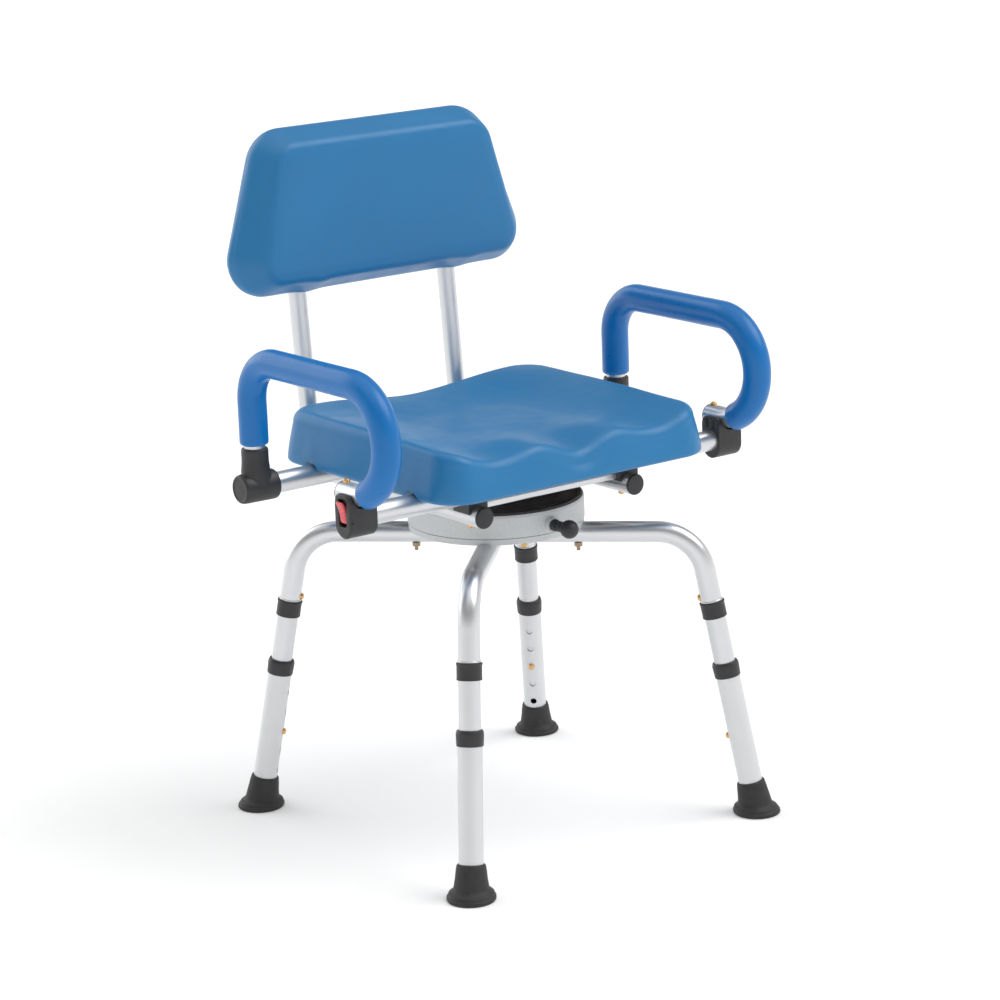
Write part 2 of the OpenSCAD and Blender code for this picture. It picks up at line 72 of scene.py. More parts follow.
SIDES = {"right": -1, "left": 1}
LEGS = {"fr": 225, "fl": 315, "rr": 135, "rl": 45}   # azimuth of each leg, in degrees
KNEE_R = 0.240
LEG_Z = 0.351
SPLAY = math.radians(10.7)
TUBE_R = 0.0127
LOWER_R = 0.0143
UPPER_COLLAR_AT = 0.0867         # distances down a leg are from its knee
UPPER_COLLAR_H = 0.020
UPPER_BUTTON_AT = 0.0804
COLLAR_AT = 0.1632
COLLAR_H = 0.0185
LOWER_BUTTON_AT = 0.2554
RAIL_X = 0.112
RAIL_Z = 0.4115
RAIL_END_Y = -0.126
RAIL_BUTTON_Y = -0.101
CROSS_Y = 0.101
CROSS_Z = 0.4372
ARM_X = 0.272
ARM_Z = 0.590
ARM_END_Z = 0.4633
ARM_END_Y = -0.080
ARM_BEND = 0.050
HOOK_Y = -0.103
HOOK_R = (ARM_Z - ARM_END_Z) / 2
GRIP_Z0 = 0.4876
GRIP_HOOK = math.radians(160)
GRIP_R = 0.017
INDEX_Z = 0.380
BACK_FOOT_Y = 0.218
RECLINE = math.radians(5)
LEVER_PIN = Vector((0.2872, -CROSS_Y, 0.4365))

# ---- Mesh helpers: a shape is a pair (vertices, faces) ----


def loft(rings, tips=(None, None), closed=False):
    """A skin over rings of equal length, capped at both ends, or joined end to start when closed."""
    n, m = len(rings[0]), len(rings)
    verts = [Vector(v) for ring in rings for v in ring]
    faces = []
    for i in range(m if closed else m - 1):
        a, b = i * n, (i + 1) % m * n
        faces += [(a + j, a + (j + 1) % n, b + (j + 1) % n, b + j) for j in range(n)]
    if not closed:
        for start, tip in ((0, tips[0]), ((m - 1) * n, tips[1])):
            ring = verts[start:start + n]
            verts.append(Vector(tip) if tip is not None else sum(ring, Vector()) / n)
            faces += [(start + j, start + (j + 1) % n, len(verts) - 1) for j in range(n)]
    return verts, faces


def lathe(profile, place=Matrix.Identity(4), segments=64, hollow=False):
    """A solid turned about its local Z from (radius, height) points. A radius of 0 ends it in a tip, and a
    hollow one joins its last point to its first."""
    tips = [place @ Vector((0, 0, profile[k][1])) for k in (0, -1)]
    rings = [
        [place @ Vector((r * math.cos(a), r * math.sin(a), h)) for a in turns(segments)]
        for r, h in profile if r > 0
    ]
    return loft(rings, tips, closed=hollow)


def turns(count):
    return [2 * math.pi * i / count for i in range(count)]


def quarter(steps):
    """The angles of a quarter turn in equal steps, without the first, 0."""
    return [math.pi / 2 * k / steps for k in range(1, steps + 1)]


def soften(points, steps=4):
    """An outline of (x, y, radius) points, each corner rounded by a curve that starts radius before it."""
    out = []
    for i, p in enumerate(points):
        here, radius = Vector(p[:2]), p[2] if len(p) > 2 else 0
        if radius == 0 or i in (0, len(points) - 1):
            out.append(tuple(here))
            continue
        before, after = Vector(points[i - 1][:2]) - here, Vector(points[i + 1][:2]) - here
        reach = min(radius, 0.49 * before.length, 0.49 * after.length)
        a, b = here + before.normalized() * reach, here + after.normalized() * reach
        for k in range(steps + 1):
            t = k / steps
            out.append(tuple(a * (1 - t) ** 2 + here * 2 * t * (1 - t) + b * t ** 2))
    return out


def prism(outline, x0, x1):
    """A closed outline of (y, z) points, drawn out along X."""
    return loft([[Vector((x, y, z)) for y, z in outline] for x in (x0, x1)])


def block(low, high):
    (x0, y0, z0), (x1, y1, z1) = low, high
    return prism([(y0, z0), (y1, z0), (y1, z1), (y0, z1)], x0, x1)


def moved(shape, place):
    return [place @ v for v in shape[0]], shape[1]


def mirrored(shape, side):
    """The shape as drawn for the left side, or its mirror image for the right."""
    return [Vector((side * v.x, v.y, v.z)) for v in shape[0]], shape[1]


def joined(*shapes):
    verts, faces = [], []
    for v, f in shapes:
        faces += [tuple(i + len(verts) for i in face) for face in f]
        verts += v
    return verts, faces


def piece(name, shape, body, material, nodes=(), sharp=40):
    """A named object made of a shape, riding on a body and standing for CAD nodes."""
    mesh = bpy.data.meshes.new(name)
    mesh.from_pydata(shape[0], [], shape[1])
    bm = bmesh.new()
    bm.from_mesh(mesh)
    bmesh.ops.remove_doubles(bm, verts=bm.verts, dist=1e-6)
    bmesh.ops.recalc_face_normals(bm, faces=bm.faces)
    bm.to_mesh(mesh)
    bm.free()
    smooth(mesh, sharp)
    mesh.materials.append(material)
    obj = bpy.data.objects.new(name, mesh)
    bpy.context.scene.collection.objects.link(obj)
    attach(obj, body)
    if nodes:
        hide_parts(*nodes)
    return obj


def smooth(mesh, sharp):
    mesh.shade_smooth()
    mesh.set_sharp_from_angle(angle=math.radians(sharp))


def fuse(obj, voxel, rounds, cutters=()):
    """Fuses the overlapping solids of obj into one moulded skin, less the cutters, and softens its edges."""
    for shape in cutters:
        tool = bpy.data.objects.new("cutter", bpy.data.meshes.new("cutter"))
        tool.data.from_pydata(shape[0], [], shape[1])
        bm = bmesh.new()
        bm.from_mesh(tool.data)
        bmesh.ops.recalc_face_normals(bm, faces=bm.faces)
        bm.to_mesh(tool.data)
        bm.free()
        bpy.context.scene.collection.objects.link(tool)
        add_modifier(obj, "BOOLEAN", object=tool, operation="DIFFERENCE", solver="EXACT", use_self=True)
    add_modifier(obj, "REMESH", mode="VOXEL", voxel_size=voxel)
    add_modifier(obj, "SMOOTH", factor=0.5, iterations=rounds)
    depsgraph = bpy.context.evaluated_depsgraph_get()
    material = obj.data.materials[0]
    mesh = bpy.data.meshes.new_from_object(obj.evaluated_get(depsgraph))
    obj.modifiers.clear()
    obj.data = mesh
    mesh.materials.clear()
    mesh.materials.append(material)
    smooth(mesh, 60)
    for tool in [o for o in bpy.data.objects if o.name.startswith("cutter")]:
        bpy.data.objects.remove(tool)
    return obj


def add_modifier(obj, kind, **settings):
    modifier = obj.modifiers.new(kind.lower(), kind)
    for name, value in settings.items():
        setattr(modifier, name, value)


def along(direction, origin):
    """A placing that turns local +Z to the direction, with local X level or nearly so."""
    z = Vector(direction).normalized()
    return Matrix.Translation(origin) @ z.to_track_quat("Z", "Y").to_matrix().to_4x4()


def leg_place(name, distance=0.0):
    """The frame of a leg: origin that far down from the knee, +Z down the leg and +X towards the axis."""
    return (
        Matrix.Rotation(math.radians(LEGS[name]), 4, "Z")
        @ Matrix.Translation((KNEE_R, 0, LEG_Z))
        @ Matrix.Rotation(math.pi - SPLAY, 4, "Y")
        @ Matrix.Translation((0, 0, distance))
    )


def ease(low, high, value):
    """0 below low, 1 above high, and a smooth step between."""
    t = min(max((value - low) / (high - low), 0.0), 1.0)
    return t * t * (3 - 2 * t)


def bump(value, centre, width):
    return math.exp(-(((value - centre) / width) ** 2))


# ---- Materials ----


def surface(name, colour, roughness, metallic=0.0, mottle=0.06, mottle_size=0.05, grain_size=0.0006,
            grain=0.1, grain_depth=0.00003, rough_spread=0.05, streak=(1, 1, 1), **sockets):
    """A node material: colour mottled by a slow noise, roughness by a middling one, and a fine grain."""
    material = bpy.data.materials.new(name)
    material.use_nodes = True
    nodes, links = material.node_tree.nodes, material.node_tree.links
    shader = nodes["Principled BSDF"]
    shader.inputs["Metallic"].default_value = metallic
    for socket, value in sockets.items():
        shader.inputs[socket.replace("_", " ")].default_value = value
    place = nodes.new("ShaderNodeTexCoord")
    stretch = nodes.new("ShaderNodeMapping")
    stretch.inputs["Scale"].default_value = streak
    links.new(place.outputs["Object"], stretch.inputs["Vector"])

    def noise_of(size, detail, source):
        made = nodes.new("ShaderNodeTexNoise")
        made.inputs["Scale"].default_value = 1 / size
        made.inputs["Detail"].default_value = detail
        links.new(source, made.inputs["Vector"])
        return made.outputs["Fac"]

    slow = noise_of(mottle_size, 4, place.outputs["Object"])
    fine = noise_of(grain_size, 3, stretch.outputs["Vector"])
    ramp = nodes.new("ShaderNodeValToRGB")
    ramp.color_ramp.elements[0].position = 0.3
    ramp.color_ramp.elements[1].position = 0.7
    for element, shift in zip(ramp.color_ramp.elements, (1 - mottle, 1 + mottle)):
        element.color = (*(min(c * shift, 1.0) for c in colour), 1)
    links.new(slow, ramp.inputs["Fac"])
    links.new(ramp.outputs["Color"], shader.inputs["Base Color"])
    spread = nodes.new("ShaderNodeMapRange")
    spread.inputs["From Min"].default_value = 0.3
    spread.inputs["From Max"].default_value = 0.7
    spread.inputs["To Min"].default_value = roughness - rough_spread
    spread.inputs["To Max"].default_value = roughness + rough_spread
    links.new(noise_of(mottle_size / 4, 5, stretch.outputs["Vector"]), spread.inputs["Value"])
    links.new(spread.outputs["Result"], shader.inputs["Roughness"])
    relief = nodes.new("ShaderNodeBump")
    relief.inputs["Strength"].default_value = grain
    relief.inputs["Distance"].default_value = grain_depth
    links.new(fine, relief.inputs["Height"])
    links.new(relief.outputs["Normal"], shader.inputs["Normal"])
    return material


foam = surface("foam_skin", (0.012, 0.172, 0.395), 0.42, mottle=0.03, mottle_size=0.09,
               grain_size=0.0011, grain=0.35, grain_depth=0.00006, Specular_IOR_Level=0.45)
grip_foam = surface("grip_foam", (0.002, 0.150, 0.450), 0.32, mottle=0.03, mottle_size=0.04,
                    grain_size=0.0007, grain=0.25, grain_depth=0.00004, Specular_IOR_Level=0.4)
aluminium = surface("anodised_tube", (0.66, 0.67, 0.685), 0.33, metallic=0.9, mottle=0.015,
                    mottle_size=0.05, grain_size=0.0004, grain=0.03, grain_depth=0.00001, rough_spread=0.015)
frosted = surface("frosted_tube", (0.70, 0.71, 0.72), 0.52, metallic=0.9, mottle=0.012,
                  mottle_size=0.05, grain_size=0.0003, grain=0.05, grain_depth=0.00001, rough_spread=0.015)
housing = surface("housing_plastic", (0.60, 0.615, 0.62), 0.42, mottle=0.05, mottle_size=0.0022,
                  grain_size=0.0008, grain=0.2)
black = surface("black_plastic", (0.022, 0.022, 0.024), 0.46, mottle=0.15, mottle_size=0.01,
                grain_size=0.0007, grain=0.5, grain_depth=0.00008)
rubber = surface("foot_rubber", (0.020, 0.020, 0.021), 0.62, mottle=0.2, mottle_size=0.008,
                 grain_size=0.0009, grain=0.5, grain_depth=0.0001)
brass = surface("snap_brass", (0.72, 0.42, 0.16), 0.28, metallic=1.0, mottle=0.12, mottle_size=0.003)
bolt_metal = surface("bolt_metal", (0.30, 0.235, 0.165), 0.35, metallic=1.0, mottle=0.2, mottle_size=0.002)
steel = surface("ball_steel", (0.62, 0.62, 0.63), 0.2, metallic=1.0, mottle=0.05, mottle_size=0.004)
red = surface("lever_red", (0.66, 0.055, 0.075), 0.28, mottle=0.06, mottle_size=0.006, Coat_Weight=0.3)
board_wood = surface("board_plywood", (0.16, 0.12, 0.085), 0.6, mottle=0.25, mottle_size=0.02,
                     streak=(1, 12, 1), grain_size=0.004, grain=0.3, grain_depth=0.0002)

SLOT_LOOKS = {
    "tube_aluminium": aluminium,
    "leg_aluminium": frosted,
    "housing_grey": housing,
    "black_plastic": black,
    "foot_rubber": rubber,
    "brass": brass,
    "steel": steel,
    "lever_red": red,
    "board_wood": board_wood,
    "foam_blue": foam,
    "grip_blue": grip_foam,
}


def dress_cad_nodes():
    """Every CAD node takes the material of its record slot and smooth shading with crisp edges."""
    slots = {row["node"]: row["material_slot"] for row in frame["record"]["subparts"]}
    for name, obj in frame["nodes"].items():
        obj.data.materials.clear()
        obj.data.materials.append(bolt_metal if name == "leg_bolts" else SLOT_LOOKS[slots[name]])
        smooth(obj.data, 30)


# ---- Pads ----


def corner_loop(corners, side_steps=40, arc_steps=14):
    """A closed outline round corner discs (x, y, radius, first angle, last angle) in turn.
    Loops with equal steps match point for point, whatever their size."""
    out = []
    for i, (x, y, r, a0, a1) in enumerate(corners):
        for k in range(arc_steps + 1):
            a = a0 + (a1 - a0) * k / arc_steps
            out.append(Vector((x + r * math.cos(a), y + r * math.sin(a), 0)))
        nx, ny, nr, na, _ = corners[(i + 1) % len(corners)]
        end, start = out[-1], Vector((nx + nr * math.cos(na), ny + nr * math.sin(na), 0))
        out += [end.lerp(start, k / side_steps) for k in range(1, side_steps)]
    return out


def box_loop(half_w, half_d, corner):
    right_angle = math.pi / 2
    places = ((1, 1), (-1, 1), (-1, -1), (1, -1))
    return corner_loop([
        (sx * (half_w - corner), sy * (half_d - corner), corner, right_angle * i, right_angle * (i + 1))
        for i, (sx, sy) in enumerate(places)
    ])


SEAT_LOW, SEAT_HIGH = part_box("seat_pad")
SEAT_HALF_W = (SEAT_HIGH.x - SEAT_LOW.x) / 2
SEAT_HALF_D = (SEAT_HIGH.y - SEAT_LOW.y) / 2
SEAT_CORNER = 0.040
SEAT_DISH_Z = 0.4885
SEAT_ROLL_IN = 0.012             # how far the top edge's roll reaches in, and down
SEAT_ROLL_DOWN = 0.015
SEAT_WALL_IN = 0.007             # how far the side wall leans in
SEAT_LOW_ROUND = 0.005


def seat_top(x, y):
    """Height of the moulded top: a raised rim, a dished middle and two thigh grooves with a dip between."""
    across, front = abs(x), -y / SEAT_HALF_D
    reach = ((across / SEAT_HALF_W) ** 4 + abs(y / SEAT_HALF_D) ** 4) ** 0.25
    rim = 0.5078 - 0.004 * ease(-0.2, 1, front) - 0.011 * bump(across, 0, 0.085) * ease(0.1, 0.9, -front)
    dish = SEAT_DISH_Z + (rim - SEAT_DISH_Z) * ease(0.35, 0.98, reach)
    edge = (
        0.4905
        - 0.0120 * bump(across, 0, 0.030)
        + 0.0045 * bump(across, 0.058, 0.024)
        - 0.0040 * bump(across, 0.112, 0.034)
        + 0.0135 * ease(0.125, 0.190, across)
    )
    near = ease(0.15, 0.97, front)
    wave = 0.0005 * noise.noise(Vector((x, y, 0.3)) * 18)
    return dish + (edge - dish) * near + wave


def seat_bottom(x, y):
    """The underside is flat, with grooves that bridge the cross tubes."""
    off = abs(abs(y) - CROSS_Y)
    bridge = CROSS_Z + math.sqrt(max(0.0142 ** 2 - off ** 2, 0))
    return max(SEAT_LOW.z, bridge)


def seat_shape():
    rings = []

    def ring(inset, height):
        loop = box_loop(SEAT_HALF_W - inset, SEAT_HALF_D - inset, SEAT_CORNER - inset / 2)
        rings.append([Vector((p.x, p.y, height(p.x, p.y))) for p in loop])

    board_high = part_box("seat_board")[1]
    pocket_w, pocket_d = board_high.x + 0.0004, board_high.y + 0.0004
    pocket_top = board_high.z + 0.0006
    for scale in (0.25, 0.7, 1.0):
        loop = box_loop(pocket_w * scale, pocket_d * scale, 0.001)
        rings.append([Vector((p.x, p.y, pocket_top)) for p in loop])
    # down the pocket's wall, then out along the underside
    loop = box_loop(pocket_w, pocket_d, 0.001)
    rings.append([Vector((p.x, p.y, seat_bottom(p.x, p.y) + 0.001)) for p in loop])
    loop = box_loop(pocket_w + 0.001, pocket_d + 0.001, 0.002)
    rings.append([Vector((p.x, p.y, seat_bottom(p.x, p.y))) for p in loop])
    for inset in (0.018, 0.012, 0.007):
        ring(inset, seat_bottom)
    for a in quarter(5):                        # the lower edge's small round
        inset, up = SEAT_LOW_ROUND * (1 - math.sin(a)), SEAT_LOW_ROUND * (1 - math.cos(a))
        ring(inset, lambda x, y: seat_bottom(x, y) + up)
    wall_steps = 8
    for k in range(1, wall_steps + 1):          # the wall leans in towards the top
        t = k / wall_steps
        ring(SEAT_WALL_IN * t ** 1.3, lambda x, y: (
            (seat_bottom(x, y) + SEAT_LOW_ROUND) * (1 - t) + (seat_top(x, y) - SEAT_ROLL_DOWN) * t))
    for a in quarter(12):                       # the rolled top edge
        drop = SEAT_ROLL_DOWN * (1 - math.sin(a))
        ring(SEAT_WALL_IN + SEAT_ROLL_IN * (1 - math.cos(a)), lambda x, y: seat_top(x, y) - drop)
    inner = SEAT_WALL_IN + SEAT_ROLL_IN
    rows = 46
    for k in range(1, rows):
        t = 1 - k / rows
        loop = box_loop((SEAT_HALF_W - inner) * t, (SEAT_HALF_D - inner) * t, (SEAT_CORNER - inner / 2) * t)
        rings.append([Vector((p.x, p.y, seat_top(p.x, p.y))) for p in loop])
    return loft(rings, (Vector((0, 0, pocket_top)), Vector((0, 0, seat_top(0, 0)))))


def build_seat():
    pad = piece("seat_cushion", seat_shape(), "seat", foam, ["seat_pad"], sharp=75)


# corner discs of the backrest's widest outline and of its front face: x, distance up the back from where its
# line meets the rails, radius
BACK_LOW = (0.1710, 0.2635, 0.046)
BACK_HIGH = (0.1275, 0.3705, 0.051)
FACE_LOW = (0.1610, 0.2590, 0.024)
FACE_HIGH = (0.1290, 0.3680, 0.031)
BACK_MIDDLE = (BACK_LOW[1] + BACK_HIGH[1]) / 2
# its edge, from the rear face to the front one: share of the way from the outline to the face, how far drawn
# in, how far forward of the tubes, corner round
BACK_EDGE = ((0.0, 0.030, -0.0135, 0), (0.0, 0.017, -0.0122, 0.008), (0.0, 0.0, 0.0160, 0.014),
             (1.0, 0.0, 0.0570, 0.009), (1.0, 0.014, 0.0590, 0))


def back_place():
    return Matrix.Translation((0, BACK_FOOT_Y, RAIL_Z)) @ Matrix.Rotation(-RECLINE, 4, "X")


def back_loop(share, inset, scale=1.0):
    """An outline between the backrest's widest one and its face's, x across and y up the back, drawn in by
    inset and then scaled about its middle."""
    low_x, low_s, low_r = (a + (b - a) * share for a, b in zip(BACK_LOW, FACE_LOW))
    high_x, high_s, high_r = (a + (b - a) * share for a, b in zip(BACK_HIGH, FACE_HIGH))
    slope = math.atan2(high_s - low_s, high_x - low_x)
    gap = math.hypot(high_s - low_s, high_x - low_x)
    side = slope - math.acos((low_r - high_r) / gap)      # outward angle of the right-hand side
    right_angle = math.pi / 2
    discs = [
        (low_x, low_s, low_r, -right_angle, side),
        (high_x, high_s, high_r, side, right_angle),
        (-high_x, high_s, high_r, right_angle, math.pi - side),
        (-low_x, low_s, low_r, math.pi - side, math.pi + right_angle),
    ]
    return corner_loop([
        (x * scale, BACK_MIDDLE + (s - BACK_MIDDLE) * scale, (r - inset) * scale, a0, a1)
        for x, s, r, a0, a1 in discs
    ])


def back_shape():
    place = back_place()
    rings = []

    def ring(loop, out):
        """out is how far the ring lies forward of the tubes' axes"""
        made = []
        for p in loop:
            # the skin draws in a little at the lower edge, where the tubes enter
            pinch = 0.0022 * bump(abs(p.x), RAIL_X, 0.014) * ease(0.262, 0.240, p.y)
            dent = 0.0006 * noise.noise(Vector((p.x, p.y, out)) * 14)
            made.append(place @ Vector((p.x, -out - dent, p.y - pinch)))
        rings.append(made)

    (_, rear_inset, rear, _), (_, front_inset, front, _) = BACK_EDGE[0], BACK_EDGE[-1]
    rows = 18
    for k in range(rows - 1, 0, -1):            # the flat rear face, from its middle out
        ring(back_loop(0, rear_inset, 1 - k / rows), rear)
    for share, inset, out in back_edge():
        ring(back_loop(share, inset), out)
    rows, crown = 30, 0.0012
    for k in range(1, rows):                    # the front face, very slightly crowned
        t = 1 - k / rows
        ring(back_loop(1, front_inset, t), front + crown * (1 - t * t))
    tips = [place @ Vector((0, -out, BACK_MIDDLE)) for out in (rear, front + crown)]
    return loft(rings, tips)


def back_edge():
    """BACK_EDGE as a fine line of (share, inset, out) with its corners rounded."""
    # share and inset are measured on one scale, the distance drawn in, so that the corners round evenly
    depth = BACK_LOW[2] - FACE_LOW[2]
    longest = 0.003
    line = soften([(inset + share * depth, out, r) for share, inset, out, r in BACK_EDGE], 9)
    rim = min(range(len(line)), key=lambda i: line[i][0])
    fine = []
    for i, (a, b) in enumerate(zip(line, line[1:])):
        count = max(1, math.ceil(math.dist(a, b) / longest))
        fine += [(i >= rim, a[0] + (b[0] - a[0]) * k / count, a[1] + (b[1] - a[1]) * k / count)
                 for k in range(count)]
    fine.append((True, *line[-1]))
    return [(min(drawn / depth, 1), max(drawn - depth, 0), out) if front else (0, drawn, out)
            for front, drawn, out in fine]


def build_backrest():
    pad = piece("backrest_cushion", back_shape(), "seat", foam, ["backrest_pad"], sharp=75)


# ---- Armrests ----


def trace(start, heading, moves, step):
    """Points and unit headings along a plane path of ("run", length) and ("bend", radius, angle) moves.
    A positive angle turns clockwise."""
    at, way = Vector(start), heading
    out = [(at.copy(), way)]
    for kind, *size in moves:
        if kind == "run":
            count = max(1, round(size[0] / step))
            ahead = Vector((math.cos(way), math.sin(way)))
            out += [(at + ahead * size[0] * k / count, way) for k in range(1, count + 1)]
            at = out[-1][0].copy()
        else:
            radius, angle = size
            centre = at + Vector((math.sin(way), -math.cos(way))) * radius
            count = max(2, round(radius * angle / step))
            for k in range(1, count + 1):
                w = way - angle * k / count
                out.append((centre + Vector((-math.sin(w), math.cos(w))) * radius, w))
            at, way = out[-1][0].copy(), way - angle
    return out


def arm_path(z0, hook, tail, step=0.003):
    """The armrest's line in (forward, up) from height z0: up, forward and round the hook."""
    return trace((-CROSS_Y, z0), math.pi / 2, [
        ("run", ARM_Z - ARM_BEND - z0),
        ("bend", ARM_BEND, math.pi / 2),
        ("run", CROSS_Y - ARM_BEND - HOOK_Y),
        ("bend", HOOK_R, hook),
        ("run", tail),
    ], step)


def arm_ring(at, way, radius, segments=48, shape=None):
    normal = Vector((-math.sin(way), math.cos(way)))
    ring = []
    for a in turns(segments):
        r = radius * (shape(at, a) if shape else 1)
        side, lift = r * math.cos(a), r * math.sin(a)
        p = at + normal * lift
        ring.append(Vector((ARM_X + side, -p.x, p.y)))
    return ring


def build_grip(name, side):
    """A foam sleeve with rounded ends, slightly uneven as foam over a bent tube is."""
    path = arm_path(GRIP_Z0, GRIP_HOOK, 0.0005)
    bore = TUBE_R + 0.0002

    def uneven(at, a):
        return 1 + 0.010 * noise.noise(Vector((at.x * 30, at.y * 30, 1.5 * math.cos(a) + side)))

    rings, travelled = [], [0.0]
    for (p, _), (q, _) in zip(path, path[1:]):
        travelled.append(travelled[-1] + (q - p).length)
    total, round_r = travelled[-1], 0.004
    for (at, way), s in zip(path, travelled):
        near = min(s, total - s)
        if near >= 1.7 * round_r:    # nearer ones would fold into the rounded ends
            rings.append(arm_ring(at, way, GRIP_R, shape=uneven))
    ends = []
    for (at, way), sign in ((path[0], 1), (path[-1], -1)):
        ahead = Vector((math.cos(way), math.sin(way))) * sign
        cap = [arm_ring(at, way, bore)]
        for k in range(7):
            a = math.pi / 2 * k / 6
            back, inset = round_r * (1 - math.sin(a)), round_r * (1 - math.cos(a))
            cap.append(arm_ring(at + ahead * inset, way, GRIP_R - back, shape=uneven))
        ends.append(cap)
    inner = [arm_ring(at, way, bore) for at, way in path[1:-1]]
    shape = loft(ends[0] + rings + ends[1][::-1] + inner[::-1], closed=True)
    pad = piece(f"armrest_sleeve_{name}", mirrored(shape, side), f"armrest_{name}", grip_foam,
                [f"armrest_grip_{name}"], sharp=60)


def dome(radius, proud, length):
    """A pin from height 0 to proud with a domed end, and a tail of that length below."""
    shoulder, flat = 0.45, 0.35
    profile = [(0, -length), (radius, -length), (radius, proud * shoulder)]
    for a in (0.3, 0.6, 0.9, 1.15, 1.35):
        draw_in = 1 if a < 1.2 else 1 - flat + flat * math.cos(a)      # only the last ring
        height = proud * (shoulder + (1 - shoulder) * math.sin(a))
        profile.append((radius * math.cos(a) * draw_in, height))
    return profile + [(0, proud)]


def build_arm_end(name, side):
    """The brass snap button and the thin black plug at the armrest tube's free end."""
    from_end, sunk = 0.006, 0.0004
    up = Matrix.Translation((ARM_X, ARM_END_Y - from_end, ARM_END_Z + TUBE_R - sunk))
    button = lathe(dome(radius=0.0041, proud=0.0042, length=0.006), up, 32)
    piece(f"armrest_button_{name}", mirrored(button, side), f"armrest_{name}", brass)
    plug = lathe(soften([(0, -0.014), (0.0109, -0.014), (0.0109, -0.0002), (0.0127, 0, 0.0003),
                         (0.0127, 0.0014, 0.0005), (0.0095, 0.0016, 0.001), (0.0085, 0.0008, 0.001),
                         (0, 0.0008)]), along((0, 1, 0), (ARM_X, ARM_END_Y, ARM_END_Z)))
    piece(f"armrest_plug_{name}", mirrored(plug, side), f"armrest_{name}", black)


def build_tee(name, side):
    """The pivot joint: a barrel on the cross tube and a socket that holds the armrest's rear post."""
    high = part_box(f"armrest_tee_{name}")[1]
    x0, x1 = ARM_X - 0.024, ARM_X + 0.024
    barrel = lathe(soften([
        (0, x0), (0.0178, x0, 0.002), (0.0181, x0 + 0.004, 0.002), (0.0176, x1 - 0.006, 0.004),
        (0.0168, x1 - 0.001, 0.003), (0.0140, x1, 0.001), (0.0135, x1 - 0.0012, 0.001),
        (0, x1 - 0.0008)]), along((1, 0, 0), (0, CROSS_Y, CROSS_Z)))
    socket = lathe(soften([(0, CROSS_Z), (0.0176, CROSS_Z), (0.0172, CROSS_Z + 0.020, 0.006),
                           (0.0160, CROSS_Z + 0.030, 0.004), (0.0160, high.z - 0.002, 0.002),
                           (0.0150, high.z, 0.001), (0.0131, high.z), (0.0129, high.z - 0.004),
                           (0, high.z - 0.004)]), Matrix.Translation((ARM_X, CROSS_Y, 0)))
    tee = piece(f"armrest_pivot_{name}", mirrored(joined(barrel, socket), side), f"armrest_{name}",
                black, [f"armrest_tee_{name}"])
    fuse(tee, 0.0008, 4)


def build_latch(name, side):
    """A catch for the armrest's free end: a saddle between two ears and a window for the lever."""
    x0, x1 = ARM_X - 0.019, ARM_X + 0.017
    half, saddle_r = 0.016, 0.0131
    low_z, top_z = 0.431, 0.4668

    def stadium(inset=0.0):
        """A (y, z) outline: a half round at the bottom and rounded shoulders at the top."""
        h = half - inset
        arc = [(-CROSS_Y + h * math.cos(a), low_z + h * math.sin(a))
               for a in (math.pi + math.pi * k / 20 for k in range(21))]
        crown = soften([(-CROSS_Y + h, low_z), (-CROSS_Y + h, top_z - inset, 0.012),
                        (-CROSS_Y - h, top_z - inset, 0.012), (-CROSS_Y - h, low_z)], 8)
        return arc + crown[1:-1]

    body = prism(stadium(), x0, x1)
    face = prism(stadium(0.0015), x1 - 0.002, x1 + 0.0012)
    saddle = lathe([(0, -0.05), (saddle_r, -0.05), (saddle_r, 0.05), (0, 0.05)],
                   along((0, 1, 0), (ARM_X, -CROSS_Y, ARM_END_Z)))
    gap = block((ARM_X - saddle_r, -CROSS_Y - 0.05, ARM_END_Z),
                (ARM_X + saddle_r, -CROSS_Y + 0.05, top_z + 0.02))
    wide, low, high = 0.0072, 0.4290, 0.4610
    window = prism([(-CROSS_Y + y, z) for y, z in soften(
        [(0, low), (wide, low, 0.005), (wide, high, 0.003), (-wide, high, 0.003),
         (-wide, low, 0.005), (0, low)])][:-1], LEVER_PIN.x - 0.0048, x1 + 0.02)
    pin = along((0, 1, 0), LEVER_PIN + Vector((0, -half, 0)))
    pin_hole = lathe([(0, -0.003), (0.0018, -0.003), (0.0018, 0.0012), (0, 0.0012)], pin, 24)
    # two upright recesses with a rib between them, on the inner ear's face
    recesses = [
        block((x0 - 0.01, -CROSS_Y + y - 0.0028, 0.4525), (x0 + 0.0022, -CROSS_Y + y + 0.0028, 0.4640))
        for y in (-0.0052, 0.0052)
    ]
    latch = piece(f"armrest_catch_{name}", joined(mirrored(body, side), mirrored(face, side)), "seat",
                  black, [f"latch_body_{name}"])
    fuse(latch, 0.0007, 3, [mirrored(s, side) for s in (saddle, gap, window, pin_hole, *recesses)])


